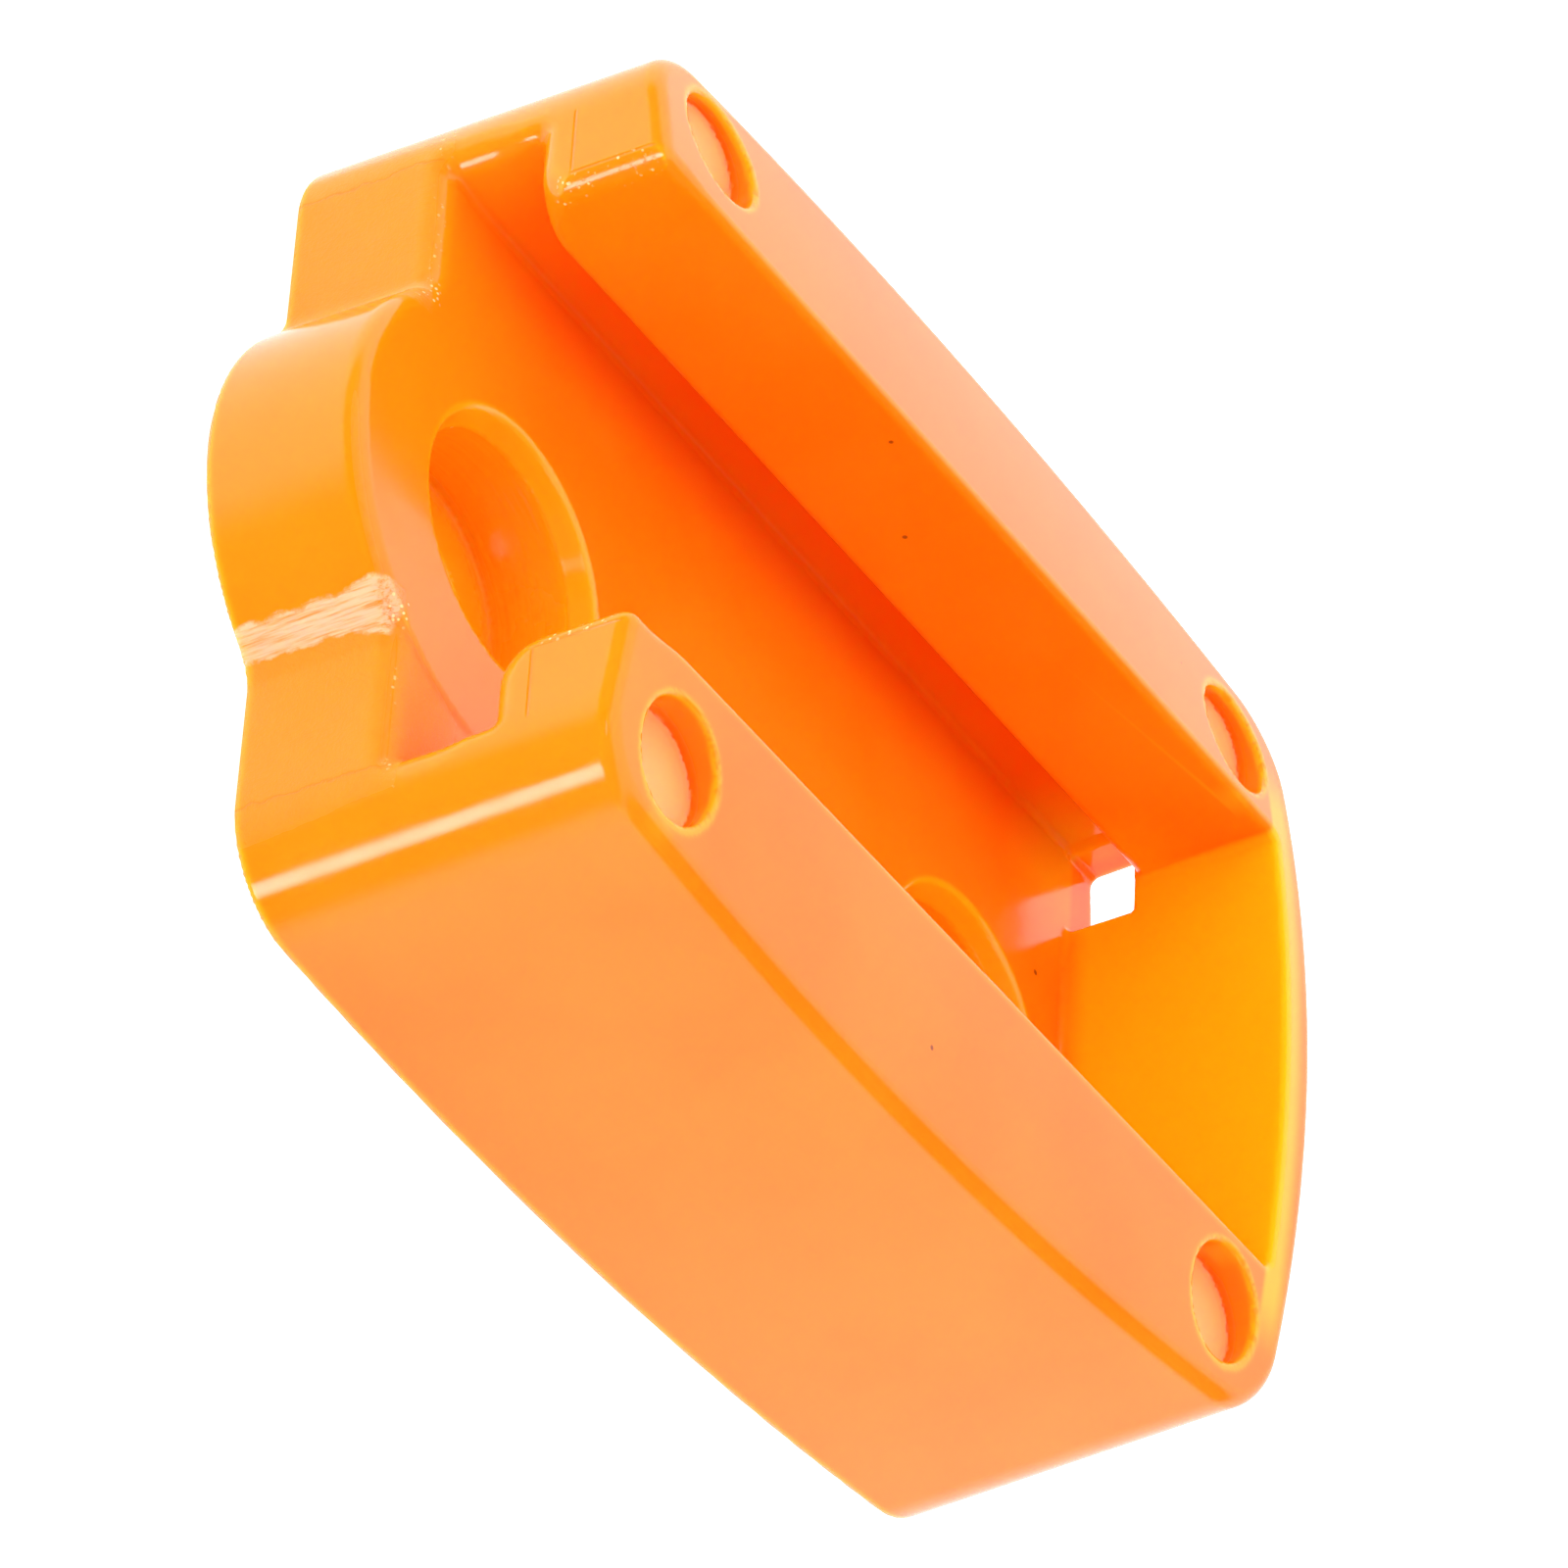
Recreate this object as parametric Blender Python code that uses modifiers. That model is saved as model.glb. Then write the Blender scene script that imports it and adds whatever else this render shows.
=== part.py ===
"""Slide-in mount body, a one-piece plastic moulding.

A thick base plate carries two side walls whose lips turn inwards over a T-shaped channel. The
channel is open at one end, where a round lug sticks out, and closed by a bowed wall at the other.
Two counterbored screw holes sink into the channel floor and four shallow ejector pits into the
rails. X runs from the open end to the closed end, Z from the back face up to the rails.

Every shape is modelled with x = 0 on the open end face. The parent empty then moves the body so
that the world origin is at the centre of its footprint, on the back face.
"""
import math

import bmesh
import bpy

MM = 0.001

# Outline of the back face
HALF_WIDTH = 15.8 * MM
WIDEST_X = 18.5 * MM
SIDE_RADIUS = 149.0 * MM
CLOSED_END_X = 40.55 * MM
END_RADIUS = 166.0 * MM
CORNER_RADIUS = 3.05 * MM
DRAFT = math.tan(math.radians(2.0))

# Crowned front
CROWN_Z = 13.9 * MM
CROWN_RADIUS = 76.5 * MM
FRONT_FILLET = 0.55 * MM

# Lug around the first screw hole
LUG_RADIUS = 8.65 * MM
LUG_FILLET = 0.5 * MM
FIRST_HOLE_X = 5.5 * MM
SECOND_HOLE_X = 32.2 * MM

# Channel and slot
FLOOR_Z = 5.4 * MM
LIP_UNDERSIDE_Z = 8.2 * MM
SLOT_HALF_WIDTH = 8.7 * MM
CHANNEL_HALF_WIDTH = 11.15 * MM
CHANNEL_END_X = 38.3 * MM
CHANNEL_FILLET = 0.4 * MM
LIP_EDGE_RADIUS = 0.7 * MM
MOUTH_LENGTH = 3.0 * MM
MOUTH_SIDE_FLARE = 0.6 * MM
MOUTH_TOP_FLARE = 0.95 * MM

# Counterbored screw holes
RIM_RADIUS = 4.58 * MM
RECESS_RADIUS = 4.17 * MM
RIM_DEPTH = 0.75 * MM
LEDGE_Z = 1.8 * MM
SHANK_RADIUS = 2.25 * MM

# Ejector pits: distance along X and half spacing across Y
PIT_RADIUS = 1.92 * MM
PIT_FLOOR_Z = 12.05 * MM
PIT_PLACES = ((4.1 * MM, 11.9 * MM), (36.05 * MM, 11.25 * MM))

# Windows through the closed end wall
WINDOW_INNER_Y = 7.4 * MM
WINDOW_TOP_Z = 8.0 * MM

# Sampling of the round shapes
SIDE_STEPS = 20
END_STEPS = 12
CORNER_STEPS = 7
CROWN_STEPS = 20
LUG_STEPS = 28
SMALL_STEPS = 4
MOUTH_STEPS = 4
HOLE_SEGMENTS = 48
PIT_SEGMENTS = 36

CLEARANCE = 2.0 * MM
OVERLAP = 1.0 * MM
MERGE_DISTANCE = 0.01 * MM
LUG_REACH = LUG_RADIUS - FIRST_HOLE_X
CENTRE_X = (CLOSED_END_X - LUG_REACH) / 2
ABOVE_Z = CROWN_Z + CLEARANCE
SMOOTH_ANGLE = math.radians(30)
EDGE_FACING = 0.7


def clear_scene():
    for old in list(bpy.data.objects):
        bpy.data.objects.remove(old, do_unlink=True)


def new_collection(name):
    group = bpy.data.collections.new(name)
    bpy.context.scene.collection.children.link(group)
    return group


def arc(centre_x, centre_y, radius, start, end, steps):
    """Points on a circular arc from angle start to angle end, both included."""
    points = []
    for step in range(steps + 1):
        angle = start + (end - start) * step / steps
        points.append((centre_x + radius * math.cos(angle), centre_y + radius * math.sin(angle)))
    return points


def body_outline(inset):
    """Half outline (y > 0) of the body from the open end to the closed end, then its mirror."""
    side = SIDE_RADIUS - inset
    end = END_RADIUS - inset
    side_y = HALF_WIDTH - SIDE_RADIUS
    end_x = CLOSED_END_X - END_RADIUS
    inner_side = side - CORNER_RADIUS
    inner_end = end - CORNER_RADIUS

    open_x = inset + CORNER_RADIUS
    open_y = side_y + math.sqrt(inner_side ** 2 - (open_x - WIDEST_X) ** 2)

    span_x = WIDEST_X - end_x
    span = math.hypot(span_x, side_y)
    along = (span ** 2 + inner_end ** 2 - inner_side ** 2) / (2 * span)
    across = math.sqrt(inner_end ** 2 - along ** 2)
    closed_x = end_x + (along * span_x - across * side_y) / span
    closed_y = (along * side_y + across * span_x) / span

    open_turn = math.atan2(open_y - side_y, open_x - WIDEST_X)
    closed_turn = math.atan2(closed_y - side_y, closed_x - WIDEST_X)
    end_turn = math.atan2(closed_y, closed_x - end_x)

    upper = arc(open_x, open_y, CORNER_RADIUS, math.pi, open_turn, CORNER_STEPS)
    upper += arc(WIDEST_X, side_y, side, open_turn, closed_turn, SIDE_STEPS)[1:]
    upper += arc(closed_x, closed_y, CORNER_RADIUS, closed_turn, end_turn, CORNER_STEPS)[1:]
    upper += arc(end_x, 0.0, end, end_turn, 0.0, END_STEPS // 2)[1:]
    lower = [(x, -y) for x, y in reversed(upper[:-1])]
    return upper + lower


def lug_outline(inset):
    """Round lug that runs into the open end face through a concave fillet on each side."""
    reach = LUG_RADIUS - inset
    fillet = LUG_FILLET + inset
    centre_x = inset - fillet
    centre_y = math.sqrt((reach + fillet) ** 2 - (centre_x - FIRST_HOLE_X) ** 2)
    turn = math.atan2(centre_y, centre_x - FIRST_HOLE_X)

    upper = [(FIRST_HOLE_X, centre_y)]
    upper += arc(centre_x, centre_y, fillet, 0.0, turn - math.pi, SMALL_STEPS)
    upper += arc(FIRST_HOLE_X, 0.0, reach, turn, math.pi, LUG_STEPS // 2)[1:]
    lower = [(x, -y) for x, y in reversed(upper[:-1])]
    return upper + lower


def channel_section(side_flare, top_flare):
    """Half section (y > 0) of the T-shaped hollow from the floor up, then its mirror."""
    wall = CHANNEL_HALF_WIDTH + side_flare
    roof = LIP_UNDERSIDE_Z + top_flare
    small = CHANNEL_FILLET
    lip = LIP_EDGE_RADIUS

    half = arc(wall - small, FLOOR_Z + small, small, -math.pi / 2, 0.0, SMALL_STEPS)
    half += arc(wall - small, roof - small, small, 0.0, math.pi / 2, SMALL_STEPS)
    half += arc(SLOT_HALF_WIDTH + lip, roof + lip, lip, -math.pi / 2, -math.pi, SMALL_STEPS)
    half.append((SLOT_HALF_WIDTH, ABOVE_Z))
    other = [(-y, z) for y, z in reversed(half)]
    return half + other


def crown_section():
    """Everything above the crowned front, as a section across the body."""
    reach = math.asin((HALF_WIDTH + CLEARANCE) / CROWN_RADIUS)
    middle = math.pi / 2
    centre_z = CROWN_Z - CROWN_RADIUS
    lower = arc(0.0, centre_z, CROWN_RADIUS, middle - reach, middle + reach, CROWN_STEPS)
    return lower + [(lower[-1][0], ABOVE_Z), (lower[0][0], ABOVE_Z)]


def add_object(name, mesh, group, parent):
    made = bpy.data.objects.new(name, mesh)
    made.parent = parent
    group.objects.link(made)
    return made


def loft(name, rings, group, parent):
    """Closed solid through rings that all have the same number of points."""
    shape = bmesh.new()
    loops = [[shape.verts.new(point) for point in ring] for ring in rings]
    count = len(rings[0])
    for low, high in zip(loops, loops[1:]):
        for index in range(count):
            after = (index + 1) % count
            shape.faces.new((low[index], low[after], high[after], high[index]))
    shape.faces.new(loops[0])
    shape.faces.new(loops[-1])
    bmesh.ops.recalc_face_normals(shape, faces=shape.faces)
    mesh = bpy.data.meshes.new(name)
    shape.to_mesh(mesh)
    shape.free()
    return add_object(name, mesh, group, parent)


def drafted_prism(name, outline, top_z, group, parent):
    """Prism whose walls lean inwards as they rise from the back face."""
    rings = []
    for level in (0.0, top_z):
        rings.append([(x, y, level) for x, y in outline(DRAFT * level)])
    return loft(name, rings, group, parent)


def turned_cutter(name, profile, place, segments, group, parent):
    """Solid of revolution about a vertical axis, from its outer profile listed top to bottom."""
    mesh = bpy.data.meshes.new(name)
    edges = [(index, index + 1) for index in range(len(profile) - 1)]
    mesh.from_pydata([(radius, 0.0, z) for radius, z in profile], edges, [])
    made = add_object(name, mesh, group, parent)
    made.location = (place[0], place[1], 0.0)
    screw = made.modifiers.new("Turn", "SCREW")
    screw.steps = segments
    screw.render_steps = segments
    screw.use_merge_vertices = True
    screw.merge_threshold = MERGE_DISTANCE
    return made


def box_cutter(name, low, high, group, parent):
    shape = bmesh.new()
    bmesh.ops.create_cube(shape, size=1.0)
    for vert in shape.verts:
        vert.co = [a + (b - a) * (c + 0.5) for a, b, c in zip(low, high, vert.co)]
    mesh = bpy.data.meshes.new(name)
    shape.to_mesh(mesh)
    shape.free()
    return add_object(name, mesh, group, parent)


def add_boolean(target, tool, operation):
    tool.hide_render = True
    tool.display_type = "WIRE"
    cut = target.modifiers.new(tool.name, "BOOLEAN")
    cut.operation = operation
    cut.solver = "EXACT"
    cut.object = tool


def apply_modifiers(target):
    """Replace the object's mesh by its evaluated one and drop the modifiers."""
    graph = bpy.context.evaluated_depsgraph_get()
    mesh = bpy.data.meshes.new_from_object(target.evaluated_get(graph))
    target.modifiers.clear()
    target.data = mesh


def round_front_edge(target):
    """Fillet the edge where the outer walls meet the crowned front."""
    shape = bmesh.new()
    shape.from_mesh(target.data)
    rim = []
    for edge in shape.edges:
        facing = sorted(face.normal.z for face in edge.link_faces)
        if len(facing) == 2 and facing[0] < EDGE_FACING < facing[1]:
            rim.append(edge)
    bmesh.ops.bevel(shape, geom=rim, offset=FRONT_FILLET, segments=SMALL_STEPS,
                    profile=0.5, affect="EDGES", clamp_overlap=True)
    shape.to_mesh(target.data)
    shape.free()


def make_blank(group, cutters, parent):
    """Solid block: bowed outline, drafted walls and a crowned front with a filleted rim."""
    blank = drafted_prism("slide_mount_body", body_outline, CROWN_Z + OVERLAP, group, parent)
    crown = loft("above_crown", along_x(crown_section(), (-CLEARANCE, CLOSED_END_X + CLEARANCE)),
                 cutters, parent)
    add_boolean(blank, crown, "DIFFERENCE")
    apply_modifiers(blank)
    round_front_edge(blank)
    return blank


def along_x(section, stations):
    return [[(x, y, z) for y, z in section] for x in stations]


def make_channel(cutters, parent):
    """Hollow that flares towards the open end as a lead-in for the sliding part."""
    start = -LUG_REACH - CLEARANCE
    rings = along_x(channel_section(MOUTH_SIDE_FLARE, MOUTH_TOP_FLARE), (start,))
    for step in range(MOUTH_STEPS + 1):
        part = step / MOUTH_STEPS
        ease = (1.0 - part) ** 2
        section = channel_section(MOUTH_SIDE_FLARE * ease, MOUTH_TOP_FLARE * ease)
        rings += along_x(section, (part * MOUTH_LENGTH,))
    rings += along_x(channel_section(0.0, 0.0), (CHANNEL_END_X,))
    return loft("channel_hollow", rings, cutters, parent)


def make_screw_hole(name, x, cutters, parent):
    """Counterbore with a coned rim, a ledge for the screw head and a clearance hole."""
    slope = (RIM_RADIUS - RECESS_RADIUS) / RIM_DEPTH
    above = FLOOR_Z + OVERLAP
    profile = (
        (0.0, above),
        (RIM_RADIUS + slope * OVERLAP, above),
        (RECESS_RADIUS, FLOOR_Z - RIM_DEPTH),
        (RECESS_RADIUS, LEDGE_Z),
        (SHANK_RADIUS, LEDGE_Z),
        (SHANK_RADIUS, -CLEARANCE),
        (0.0, -CLEARANCE),
    )
    return turned_cutter(name, profile, (x, 0.0), HOLE_SEGMENTS, cutters, parent)


def make_pits(cutters, parent):
    profile = ((0.0, ABOVE_Z), (PIT_RADIUS, ABOVE_Z), (PIT_RADIUS, PIT_FLOOR_Z), (0.0, PIT_FLOOR_Z))
    pits = []
    for x, half_spacing in PIT_PLACES:
        for y in (-half_spacing, half_spacing):
            name = "ejector_pit_%d" % (len(pits) + 1)
            pits.append(turned_cutter(name, profile, (x, y), PIT_SEGMENTS, cutters, parent))
    return pits


def make_windows(cutters, parent):
    windows = []
    for side in (-1, 1):
        ends = sorted((side * WINDOW_INNER_Y, side * CHANNEL_HALF_WIDTH))
        low = (CHANNEL_END_X - OVERLAP, ends[0], FLOOR_Z)
        high = (CLOSED_END_X + CLEARANCE, ends[1], WINDOW_TOP_Z)
        windows.append(box_cutter("end_window_%d" % (len(windows) + 1), low, high, cutters, parent))
    return windows


def orange_plastic():
    material = bpy.data.materials.new("orange_plastic")
    material.use_nodes = True
    shader = material.node_tree.nodes["Principled BSDF"]
    shader.inputs["Base Color"].default_value = (1.0, 0.23, 0.01, 1.0)
    shader.inputs["Roughness"].default_value = 0.25
    shader.inputs["Metallic"].default_value = 0.0
    return material


def build():
    clear_scene()
    group = new_collection("slide_mount")
    cutters = new_collection("cutters")
    origin = bpy.data.objects.new("slide_mount_origin", None)
    origin.location = (-CENTRE_X, 0.0, 0.0)
    group.objects.link(origin)
    bpy.context.view_layer.update()

    body = make_blank(group, cutters, origin)
    lug = drafted_prism("lug_plate", lug_outline, FLOOR_Z + OVERLAP, cutters, origin)
    add_boolean(body, lug, "UNION")
    add_boolean(body, make_channel(cutters, origin), "DIFFERENCE")
    for window in make_windows(cutters, origin):
        add_boolean(body, window, "DIFFERENCE")
    for name, x in (("first_screw_hole", FIRST_HOLE_X), ("second_screw_hole", SECOND_HOLE_X)):
        add_boolean(body, make_screw_hole(name, x, cutters, origin), "DIFFERENCE")
    for pit in make_pits(cutters, origin):
        add_boolean(body, pit, "DIFFERENCE")
    apply_modifiers(body)
    body.data.materials.clear()
    body.data.materials.append(orange_plastic())
    body.data.shade_smooth()
    body.data.set_sharp_from_angle(angle=SMOOTH_ANGLE)


build()
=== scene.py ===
"""Looks of the slide-in mount body: a fine moulded surface, its plastic, and a white light tent.

The fine surface is worked out in millimetres from a signed distance, negative inside the
plastic, so that every edge gets its real rounding. It is meshed over a grid, thinned, and put back
exactly on the surface. x = 0 is the open end face, as in the CAD model, z = 0 is the back face,
and the mesh moves to the frame at the end.
"""
import math

import bpy
import numpy as np
from mathutils import Matrix, Vector


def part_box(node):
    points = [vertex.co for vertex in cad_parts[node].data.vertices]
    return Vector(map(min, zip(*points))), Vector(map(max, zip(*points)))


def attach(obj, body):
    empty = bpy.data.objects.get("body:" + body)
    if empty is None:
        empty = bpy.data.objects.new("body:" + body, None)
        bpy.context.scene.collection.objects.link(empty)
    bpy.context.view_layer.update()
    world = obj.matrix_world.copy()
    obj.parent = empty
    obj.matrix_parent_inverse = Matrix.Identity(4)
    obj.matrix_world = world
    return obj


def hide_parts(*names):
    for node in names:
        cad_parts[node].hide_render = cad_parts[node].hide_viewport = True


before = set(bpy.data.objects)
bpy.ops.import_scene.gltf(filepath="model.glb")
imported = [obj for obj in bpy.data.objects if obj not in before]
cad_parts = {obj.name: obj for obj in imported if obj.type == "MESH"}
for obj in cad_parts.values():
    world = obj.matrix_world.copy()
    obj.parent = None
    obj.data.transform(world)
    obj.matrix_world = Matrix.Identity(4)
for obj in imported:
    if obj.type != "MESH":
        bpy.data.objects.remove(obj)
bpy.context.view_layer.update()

NODE = "slide_mount_body"
MM = 0.001
NODE_LOW, NODE_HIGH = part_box(NODE)

# Lug, first hole and overall size, the last from the frame; all sizes are in millimetres
LENGTH = (NODE_HIGH[0] - NODE_LOW[0]) / MM
HALF_WIDTH = (NODE_HIGH[1] - NODE_LOW[1]) / MM / 2
CROWN_Z = NODE_HIGH[2] / MM
LUG_RADIUS = 8.65
FIRST_HOLE_X = 5.5
SECOND_HOLE_X = 32.2
LUG_REACH = LUG_RADIUS - FIRST_HOLE_X
CLOSED_END_X = LENGTH - LUG_REACH
OPEN_END_X = NODE_LOW[0] / MM + LUG_REACH

# Outline
WIDEST_X = 18.5
SIDE_RADIUS = 149.0
END_RADIUS = 166.0
CORNER_RADIUS = 3.05
DRAFT = math.tan(math.radians(2.0))
CROWN_RADIUS = 76.5
FRONT_FILLET = 0.55
BACK_FILLET = 0.18
LUG_FILLET = 0.5
LUG_EDGE_FILLET = 0.6
LUG_CUT_ABOVE_FLOOR = 1.0

# Channel
FLOOR_Z = 5.4
ROOF_Z = 8.2
MIDDLE_Z = (FLOOR_Z + ROOF_Z) / 2
SLOT_HALF_WIDTH = 8.7
WALL_Y = 11.15
CHANNEL_END_X = 38.3
WALL_TAPER = 0.25 / CHANNEL_END_X
FLOOR_FILLET = 0.3
ROOF_FILLET = 0.3
END_FILLET = 0.35
LIP_FILLET = 0.35
MOUTH_LIP_FILLET = 2.0
MOUTH_LENGTH = 3.0
MOUTH_SIDE_FLARE = 0.6
MOUTH_TOP_FLARE = 0.95
EDGE_FILLET = 0.25
MOUTH_EDGE_FILLET = 0.55
SILL_FILLET = 0.85
LIP_CORNER_RADIUS = {"minus_y": 0.45, "plus_y": 1.0}
LIP_CORNER_SETBACK = 0.1
DISC_RADIUS = 8.2
DISC_HEIGHT = 0.14
DISC_EDGE = 0.15

# Counterbores, pits and windows
RIM_RADIUS = 4.58
RECESS_RADIUS = 4.17
RIM_DEPTH = 0.75
RECESS_TOP_Z = FLOOR_Z - RIM_DEPTH
LEDGE_Z = 1.8
SHANK_RADIUS = 2.25
HOLE_EDGE = 0.15
HOLE_CUT_ABOVE_FLOOR = 0.5
PIT_RADIUS = 1.92
PIT_FLOOR_Z = 12.05
PIT_PLACES = ((4.1, 11.9), (36.05, 11.25))  # x and |y| of each pair
PIT_EDGE = 0.13
WINDOW_INNER_Y = 7.5
WINDOW_OUTER_Y = 10.72
WINDOW_TOP_Z = 7.95
WINDOW_MIDDLE_Y = (WINDOW_INNER_Y + WINDOW_OUTER_Y) / 2
WINDOW_EDGE = 0.14
WINDOW_OVERLAP = 0.4

# Meshing: grid cell, share of faces kept, rings kept round every curve, turn that counts as flat
CELL = 0.15
THINNING = 0.285
KEEP_RINGS = 3
STEADY_TURN = 0.008
FAR_AWAY = 99.0


def round_union(a, b, radius):
    """Union of two distances whose inner corner is filled with a fillet."""
    fill = np.hypot(np.maximum(radius - a, 0), np.maximum(radius - b, 0))
    return np.maximum(radius, np.minimum(a, b)) - fill


def round_meet(a, b, radius):
    """Intersection of two distances whose outer edge is rounded."""
    trim = np.hypot(np.maximum(radius + a, 0), np.maximum(radius + b, 0))
    return np.minimum(-radius, np.maximum(a, b)) + trim


def ease(value, start, end):
    """Smooth step from 0 at start to 1 at end."""
    part = np.clip((value - start) / (end - start), 0, 1)
    return part * part * (3 - 2 * part)


def block(x, y, z):
    """The solid block and its lug, before anything is cut out of it."""
    side = np.hypot(x - WIDEST_X, np.abs(y) + SIDE_RADIUS - HALF_WIDTH) - SIDE_RADIUS
    closed = np.hypot(x - CLOSED_END_X + END_RADIUS, y) - END_RADIUS
    walls = round_meet(side, np.maximum(closed, -x), CORNER_RADIUS) + DRAFT * z
    crown = np.hypot(y, z - CROWN_Z + CROWN_RADIUS) - CROWN_RADIUS
    lug = np.hypot(x - FIRST_HOLE_X, y) - LUG_RADIUS + DRAFT * z
    body = round_meet(walls, crown, FRONT_FILLET)
    body = round_union(body, np.maximum(lug, z - FLOOR_Z - LUG_CUT_ABOVE_FLOOR), LUG_FILLET)
    return round_meet(body, -z, BACK_FILLET)


def windows(x, y, z):
    """The two openings through the closed end wall, endless downwards."""
    across = np.maximum(WINDOW_INNER_Y - np.abs(y), np.abs(y) - WINDOW_OUTER_Y)
    return np.maximum(np.maximum(across, z - WINDOW_TOP_Z), CHANNEL_END_X - WINDOW_OVERLAP - x)


def channel(x, y, z):
    """The T-shaped hollow with its windows, flared at the mouth and narrowing to the closed end."""
    flare = (1 - np.clip(x / MOUTH_LENGTH, 0, 1)) ** 2
    wall = np.abs(y) - WALL_Y + WALL_TAPER * np.maximum(x, 0) - MOUTH_SIDE_FLARE * flare
    roof = z - ROOF_Z - MOUTH_TOP_FLARE * flare
    from_hole = np.hypot(x - FIRST_HOLE_X, y)
    past_disc = ease(from_hole, DISC_RADIUS - DISC_EDGE, DISC_RADIUS + DISC_EDGE)
    past_disc = past_disc * ease(y, 2.0, -2.0) * (1 - ease(x, 2.0, 7.0)) * ease(x, -1.0, 0.0)
    floor = FLOOR_Z - DISC_HEIGHT * past_disc
    under_lips = round_meet(wall, roof, ROOF_FILLET)
    slot = np.maximum(np.abs(y) - SLOT_HALF_WIDTH, MIDDLE_Z - z)
    section = round_union(under_lips, slot, LIP_FILLET + (MOUTH_LIP_FILLET - LIP_FILLET) * flare)
    section = round_meet(section, x - CHANNEL_END_X, END_FILLET)
    section = round_union(section, windows(x, y, z), WINDOW_EDGE)
    return round_meet(section, floor - z, FLOOR_FILLET)


def lip_ends(x, y, z):
    """What the rounded ends of the lips leave free, above the middle of the channel's height."""
    end = LIP_CORNER_SETBACK + x - DRAFT * z
    radius = np.where(y < 0, LIP_CORNER_RADIUS["minus_y"], LIP_CORNER_RADIUS["plus_y"])
    lips = round_meet(-end, SLOT_HALF_WIDTH - np.abs(y), radius)
    return np.maximum(np.maximum(-lips, MIDDLE_Z - z), x - MOUTH_LENGTH)


def screw_hole(x, y, z, centre_x):
    """Coned mouth, counterbore and clearance hole, endless downwards."""
    radial = np.hypot(x - centre_x, y)
    slope = (RIM_RADIUS - RECESS_RADIUS) / RIM_DEPTH
    coned = RECESS_RADIUS + slope * np.clip(z - FLOOR_Z + RIM_DEPTH, 0, 1.2 * RIM_DEPTH)
    recess = round_meet(radial - coned, LEDGE_Z - z, HOLE_EDGE)
    recess = np.maximum(recess, z - FLOOR_Z - HOLE_CUT_ABOVE_FLOOR)
    return round_union(recess, radial - SHANK_RADIUS, HOLE_EDGE)


def pits(x, y, z):
    """The four round ejector pits, endless upwards."""
    nearest = np.full_like(x, FAR_AWAY)
    for pit_x, pit_y in PIT_PLACES:
        nearest = np.minimum(nearest, np.hypot(x - pit_x, np.abs(y) - pit_y))
    return np.maximum(nearest - PIT_RADIUS, PIT_FLOOR_Z - z)


def distance(x, y, z):
    """Signed distance to the moulding's surface, in millimetres."""
    sill = SILL_FILLET + (LUG_EDGE_FILLET - SILL_FILLET) * ease(x, 0.3, -0.3)
    mouth = sill + (MOUTH_EDGE_FILLET - sill) * ease(z, MIDDLE_Z, ROOF_Z)
    edge = EDGE_FILLET + (mouth - EDGE_FILLET) * ease(x, 3.5, 1.5)
    solid = round_meet(block(x, y, z), -channel(x, y, z), edge)
    solid = np.maximum(solid, -lip_ends(x, y, z))
    for centre_x in (FIRST_HOLE_X, SECOND_HOLE_X):
        solid = round_meet(solid, -screw_hole(x, y, z, centre_x), HOLE_EDGE)
    return round_meet(solid, -pits(x, y, z), PIT_EDGE)


def slope_at(points, step=0.02):
    """Gradient of the distance at each point, which is the surface's normal there."""
    parts = []
    for axis in range(3):
        shift = np.zeros(3)
        shift[axis] = step
        ahead = distance(*(points + shift).T)
        behind = distance(*(points - shift).T)
        parts.append((ahead - behind) / (2 * step))
    return np.stack(parts, axis=1)


def settle(points, rounds):
    """Move points along the gradient until they lie on the surface."""
    for _ in range(rounds):
        slope = slope_at(points)
        steep = np.maximum((slope ** 2).sum(axis=1), 0.25)
        move = distance(*points.T) / steep
        points = points - np.clip(move, -CELL, CELL)[:, None] * slope
    return points


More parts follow.
